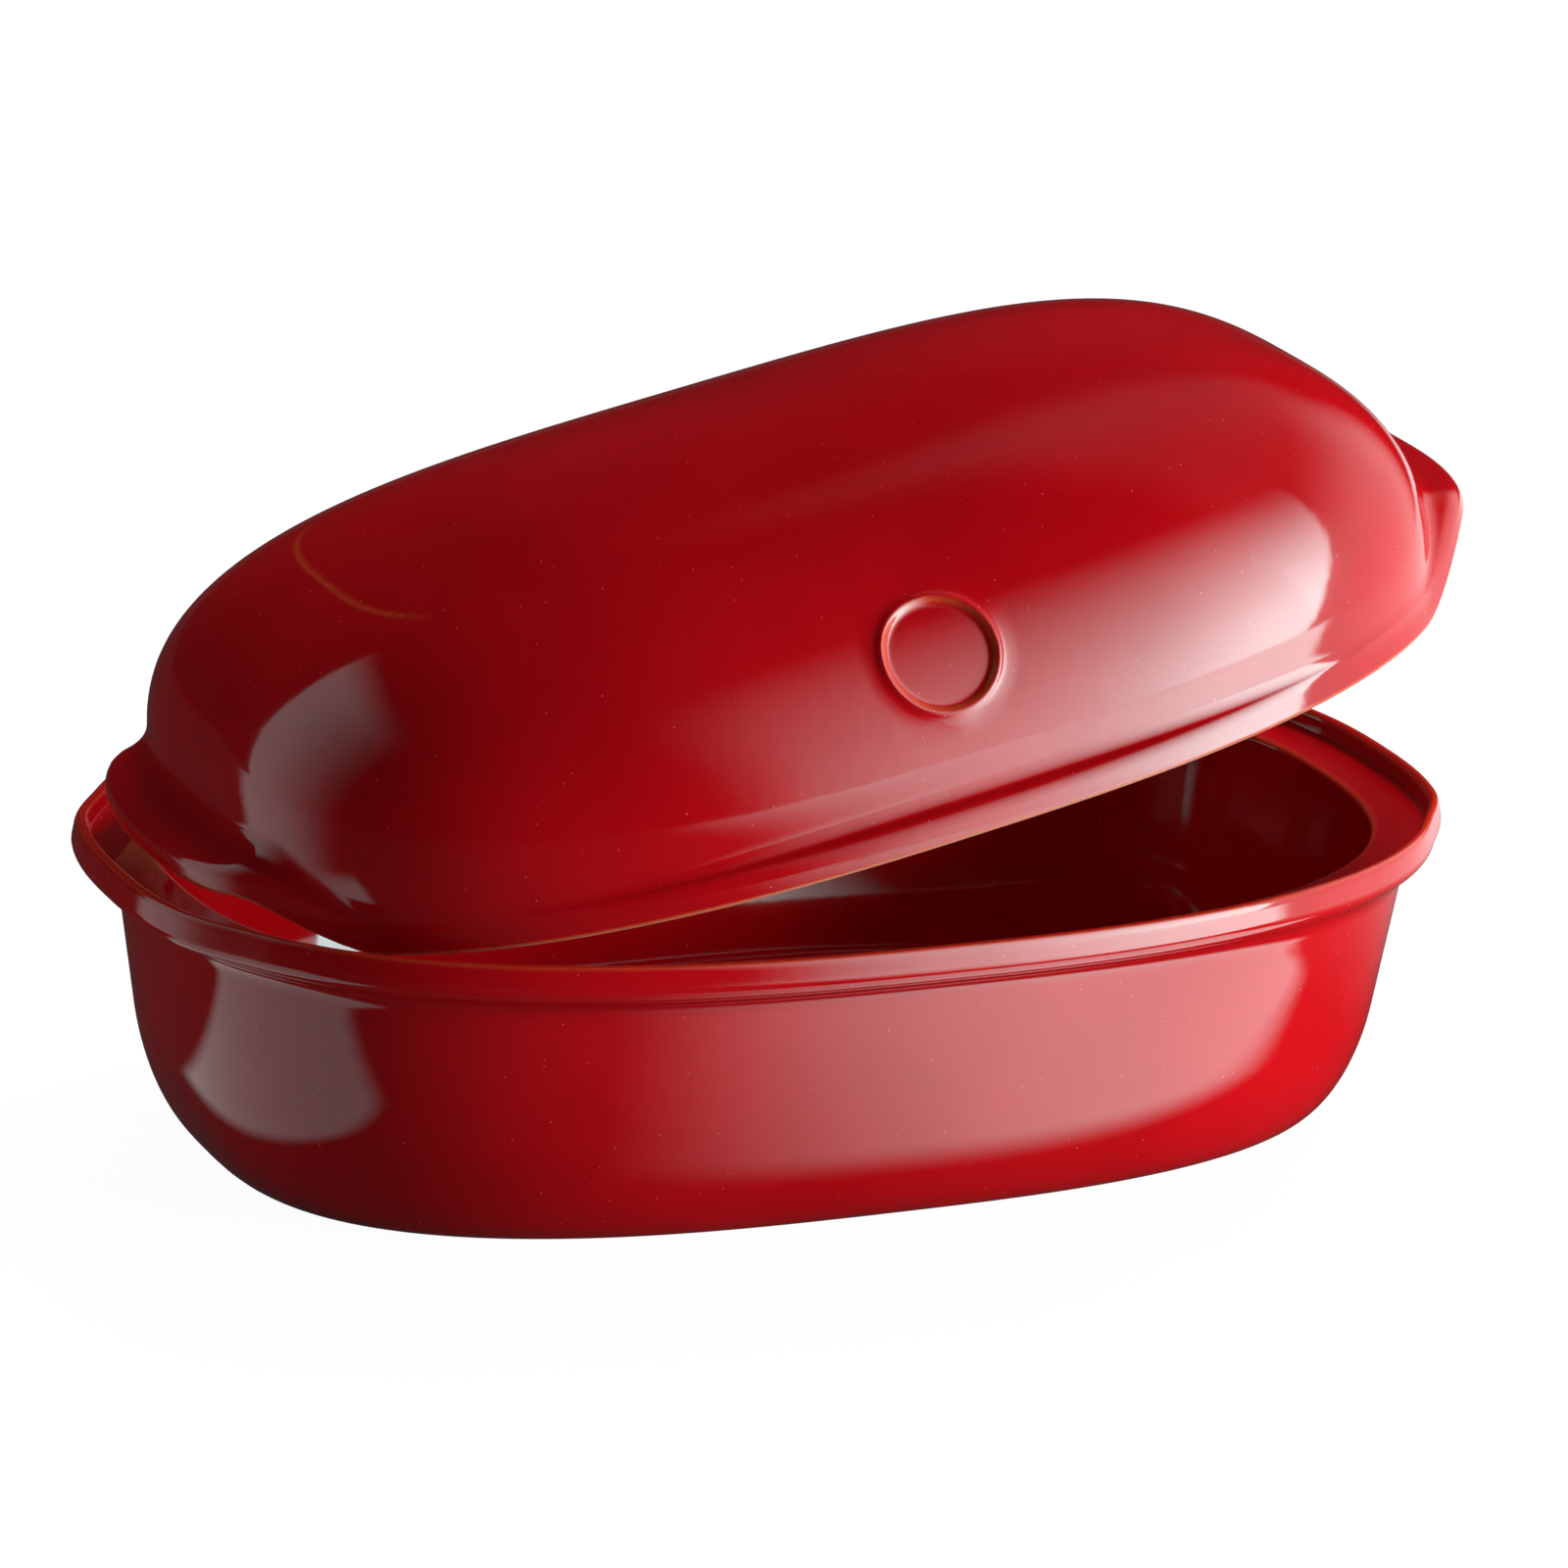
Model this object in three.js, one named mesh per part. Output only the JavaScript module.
// Covered ceramic baker: a deep oval dish with a nesting lip, and a loose domed lid with two ears.
// Each of the two pieces is pressed from one body of clay, so each one is a single closed solid.
// Millimetres, +Z up, X along the length. The origin is the middle of the dish's foot, on the table.
import * as THREE from 'three';

// Dish rim: an oval whose two ends are drawn out a little into grip ears.
const DISH_HEIGHT = 77.3;
const RIM_HALF_LENGTH = 167.2;
const RIM_HALF_WIDTH = 110;
const RIM_POWER = 2.48;
const DISH_EAR_REACH = 2.8;
const DISH_EAR_FLAT = 36;
const DISH_EAR_ROOT = 57;

// Section of the rim: a rounded band outside, a narrow lip on top and a ledge inside for the lid.
const BAND_HEIGHT = 7.8;
const BAND_EDGE = 1.2;
const COVE_HEIGHT = 3.2;
const LIP_WIDTH = 4.4;
const LIP_DEPTH = 5.5;
const LIP_DRAFT = 0.4;
const MOUTH_EDGE = 1.2;

// Plan of the seat: the lip's inner side, the ledge, the wall's inside and the lid's rim share it.
const SEAT_POWER = 2.55;

// Dish wall: drafted and rounded into the foot. Outside it is boxier in plan than the rim, and inside
// it follows the seat, so that the ledge runs round with an even width.
const WALL_END_INSET = 9.2;
const WALL_SIDE_INSET = 8.9;
const WALL_POWER = 2.74;
const WALL_DRAFT = 9.4;
const WALL_THICKNESS = 7.5;
const FLOOR_THICKNESS = 8;
const FOOT_ROUND_HEIGHT = 29;
const FOOT_ROUND_END = 11;
const FOOT_ROUND_SIDE = 13.5;

// Lid: its rim nests inside the lip and arches up at both ends, where the ears overhang the dish's.
const SEAT_CLEARANCE = 1.5;
const SEAT_GAP = 0.3;
const LID_RIM_WIDTH = 7.5;
const LID_BAND_HEIGHT = 6.5;
const LID_BAND_EDGE = 1;
const LID_EAR_SETBACK = 0.6;
const LID_EAR_FLAT = 42;
const LID_EAR_ROOT = 62;
const ARCH_RISE = 14.2;
const ARCH_FLAT = 41.5;
const ARCH_ROOT = 63.5;

// Dome of the lid: its end profile is boxier than its side profile, and so is its plan near the top.
const LID_HEIGHT = 76.4;
const LID_THICKNESS = 7;
const DOME_FOOT_HEIGHT = 11;
const DOME_END_INSET = 6.3;
const DOME_SIDE_INSET = 5.6;
const DOME_FOOT_POWER = 3;
const DOME_TOP_POWER = 3.4;
const DOME_END_PROFILE = 2.83;
const DOME_SIDE_PROFILE = 2.05;

// Tipped pose: the lid is turned about a line across its left end, and slides in as it rises.
const LID_TILT_DEGREES = 12.2;
const TILT_AXIS_LIFT = 50;
const TILT_AXIS_INSET = 5.5;

// Steps around the ovals. They lie closer together at the two ends, where the ears turn.
const STEPS_AROUND = 80;
const END_CROWDING = 0.2;
const ROUND_STEPS = 5;
const DOME_STEPS = 9;
const DOME_LAST_ANGLE = 82;

const GLAZE = { color: 0xa3141f, roughness: 0.16, metalness: 0 };

const radians = THREE.MathUtils.degToRad;

// Share of an ear at a distance from the long axis: 1 across its flat tip, eased to 0 at its root.
const earShare = (y, flat, root) => 1 - THREE.MathUtils.smoothstep(Math.abs(y), flat, root);

// Directions of the points around a ring, seen from above.
const directions = Array.from({ length: STEPS_AROUND }, (_, i) => {
  const even = (2 * Math.PI * i) / STEPS_AROUND;
  const angle = even - END_CROWDING * Math.sin(2 * even);
  return new THREE.Vector2(Math.cos(angle), Math.sin(angle));
});

// Point of a superellipse in one direction.
function ovalPoint(direction, halfLength, halfWidth, power) {
  const along = Math.abs(direction.x / halfLength) ** power;
  const across = Math.abs(direction.y / halfWidth) ** power;
  return direction.clone().multiplyScalar((along + across) ** (-1 / power));
}

// Oval ring at one height, with no ears.
function plainRing(halfLength, halfWidth, power, z) {
  return directions.map((direction) => {
    const p = ovalPoint(direction, halfLength, halfWidth, power);
    return new THREE.Vector3(p.x, p.y, z);
  });
}

// Closed solid from rings: a cap on the first, a skin from each to the next, and a cap on the last.
function solidFromRings(rings, firstCentre, lastCentre) {
  const positions = rings.flat().concat(firstCentre, lastCentre).flatMap((p) => p.toArray());
  const count = STEPS_AROUND;
  const first = rings.length * count;
  const last = first + 1;
  const lastRing = first - count;
  const triangles = [];
  for (let step = 0; step < count; step += 1) {
    const next = (step + 1) % count;
    triangles.push(first, next, step);
    for (let ring = 0; ring < rings.length - 1; ring += 1) {
      const here = ring * count;
      const above = here + count;
      triangles.push(here + step, here + next, above + next);
      triangles.push(here + step, above + next, above + step);
    }
    triangles.push(last, lastRing + step, lastRing + next);
  }
  const geometry = new THREE.BufferGeometry();
  geometry.setAttribute('position', new THREE.Float32BufferAttribute(positions, 3));
  geometry.setIndex(triangles);
  geometry.computeVertexNormals();
  return geometry;
}

// Angles of a quarter round, from the first to the last.
const quarterAngles = (first, last, steps) =>
  Array.from({ length: steps + 1 }, (_, i) => radians(first + ((last - first) * i) / steps));

// Dish rim ring, drawn in all round from the outermost outline.
function dishRimRing(inset, z, power) {
  return directions.map((direction) => {
    const p = ovalPoint(direction, RIM_HALF_LENGTH - inset, RIM_HALF_WIDTH - inset, power);
    const reach = DISH_EAR_REACH * earShare(p.y, DISH_EAR_FLAT, DISH_EAR_ROOT);
    return new THREE.Vector3(p.x + Math.sign(p.x) * reach, p.y, z);
  });
}

// Heights of the dish's rim section.
const bandFoot = DISH_HEIGHT - BAND_HEIGHT;
const wallTop = bandFoot - COVE_HEIGHT;
const ledgeHeight = DISH_HEIGHT - LIP_DEPTH;

// Dish wall ring. The inset is 0 on the outside, and the wall's thickness on the inside.
function dishWallRing(inset, z, roundShare, power) {
  const draft = (WALL_DRAFT * (wallTop - z)) / wallTop;
  return plainRing(
    RIM_HALF_LENGTH - WALL_END_INSET - inset - draft - FOOT_ROUND_END * roundShare,
    RIM_HALF_WIDTH - WALL_SIDE_INSET - inset - draft - FOOT_ROUND_SIDE * roundShare,
    power,
    z,
  );
}

// Rounding of the wall into the foot, or into the floor, from the flat upwards.
function footRounding(inset, floor, power) {
  return quarterAngles(0, 90, ROUND_STEPS).map((angle) => {
    const z = floor + FOOT_ROUND_HEIGHT * (1 - Math.cos(angle));
    return dishWallRing(inset, z, 1 - Math.sin(angle), power);
  });
}

function dishGeometry() {
  const outside = [
    ...footRounding(0, 0, WALL_POWER),
    dishWallRing(0, wallTop, 0, WALL_POWER),
    dishRimRing(BAND_EDGE, bandFoot, RIM_POWER),
    dishRimRing(0, bandFoot + BAND_EDGE, RIM_POWER),
    dishRimRing(0, DISH_HEIGHT - BAND_EDGE, RIM_POWER),
    dishRimRing(BAND_EDGE, DISH_HEIGHT, RIM_POWER),
  ];
  const lip = [
    dishRimRing(LIP_WIDTH - BAND_EDGE / 2, DISH_HEIGHT, SEAT_POWER),
    dishRimRing(LIP_WIDTH, DISH_HEIGHT - BAND_EDGE, SEAT_POWER),
    dishRimRing(LIP_WIDTH + LIP_DRAFT, ledgeHeight, SEAT_POWER),
  ];
  const inside = [
    dishWallRing(WALL_THICKNESS - MOUTH_EDGE, ledgeHeight, 0, SEAT_POWER),
    dishWallRing(WALL_THICKNESS, ledgeHeight - MOUTH_EDGE, 0, SEAT_POWER),
    ...footRounding(WALL_THICKNESS, FLOOR_THICKNESS, SEAT_POWER).reverse(),
  ];
  const footCentre = new THREE.Vector3(0, 0, 0);
  const floorCentre = new THREE.Vector3(0, 0, FLOOR_THICKNESS);
  return solidFromRings([...outside, ...lip, ...inside], footCentre, floorCentre);
}

// Lid rim, in the lid's own frame: its underside is at height 0 along the sides.
const lidRimHalfLength = RIM_HALF_LENGTH - LIP_WIDTH - SEAT_CLEARANCE;
const lidRimHalfWidth = RIM_HALF_WIDTH - LIP_WIDTH - SEAT_CLEARANCE;
const lidEarReach = RIM_HALF_LENGTH + DISH_EAR_REACH - LID_EAR_SETBACK - lidRimHalfLength;

const archAt = (y) => ARCH_RISE * earShare(y, ARCH_FLAT, ARCH_ROOT);

// Ring round the lid's rim. The ears are drawn out by a share, and the whole ring follows the arch.
function lidRimRing(inset, height, earReachShare) {
  return directions.map((direction) => {
    const p = ovalPoint(direction, lidRimHalfLength - inset, lidRimHalfWidth - inset, SEAT_POWER);
    const reach = earReachShare * lidEarReach * earShare(p.y, LID_EAR_FLAT, LID_EAR_ROOT);
    return new THREE.Vector3(p.x + Math.sign(p.x) * reach, p.y, height + archAt(p.y));
  });
}

// Dome ring at an angle of its quarter round. The inset is 0 outside, and the thickness inside.
// The dome starts higher over the arches, so each point takes its width from its own height.
function domeRing(inset, angle) {
  const halfLength = lidRimHalfLength - DOME_END_INSET - inset;
  const halfWidth = lidRimHalfWidth - DOME_SIDE_INSET - inset;
  const top = LID_HEIGHT - inset;
  const rise = Math.sin(angle);
  return directions.map((direction) => {
    const edge = ovalPoint(direction, halfLength, halfWidth, DOME_FOOT_POWER);
    const foot = DOME_FOOT_HEIGHT + archAt(edge.y);
    const z = foot + (top - foot) * rise;
    const share = (z - DOME_FOOT_HEIGHT) / (top - DOME_FOOT_HEIGHT);
    const p = ovalPoint(
      direction,
      halfLength * (1 - share ** DOME_END_PROFILE) ** (1 / DOME_END_PROFILE),
      halfWidth * (1 - share ** DOME_SIDE_PROFILE) ** (1 / DOME_SIDE_PROFILE),
      THREE.MathUtils.lerp(DOME_FOOT_POWER, DOME_TOP_POWER, share),
    );
    return new THREE.Vector3(p.x, p.y, z);
  });
}

function lidGeometry() {
  const domeAngles = quarterAngles(0, DOME_LAST_ANGLE, DOME_STEPS);
  const inside = domeAngles.map((angle) => domeRing(LID_THICKNESS, angle)).reverse();
  const rim = [
    lidRimRing(LID_RIM_WIDTH, 0, 0),
    lidRimRing(LID_BAND_EDGE, 0, 1),
    lidRimRing(0, LID_BAND_EDGE, 1),
    lidRimRing(0, LID_BAND_HEIGHT - LID_BAND_EDGE, 1),
    lidRimRing(LID_BAND_EDGE, LID_BAND_HEIGHT, 1),
  ];
  const outside = domeAngles.map((angle) => domeRing(0, angle));
  const ceiling = new THREE.Vector3(0, 0, LID_HEIGHT - LID_THICKNESS);
  const crown = new THREE.Vector3(0, 0, LID_HEIGHT);
  return solidFromRings([...inside, ...rim, ...outside], ceiling, crown);
}

const baker = new THREE.Group();

const dish = new THREE.Mesh(dishGeometry(), new THREE.MeshStandardMaterial(GLAZE));
dish.name = 'dish';
baker.add(dish);

// The lid tips about a line across its left end. Its rim is lowest where the left arch begins, and
// there it stays just over the ledge from the closed pose to the tipped one.
const archStartShare = 1 - (ARCH_ROOT / lidRimHalfWidth) ** SEAT_POWER;
const archStart = lidRimHalfLength * archStartShare ** (1 / SEAT_POWER);
const closedHeight = ledgeHeight + SEAT_GAP;
const tiltAxis = new THREE.Vector3(TILT_AXIS_INSET - archStart, 0, closedHeight + TILT_AXIS_LIFT);

const tipped = new THREE.Group();
tipped.position.copy(tiltAxis);
tipped.rotation.y = -radians(LID_TILT_DEGREES);
baker.add(tipped);

const lid = new THREE.Mesh(lidGeometry(), new THREE.MeshStandardMaterial(GLAZE));
lid.name = 'lid';
lid.position.set(-tiltAxis.x, 0, -TILT_AXIS_LIFT);
tipped.add(lid);

export default baker;
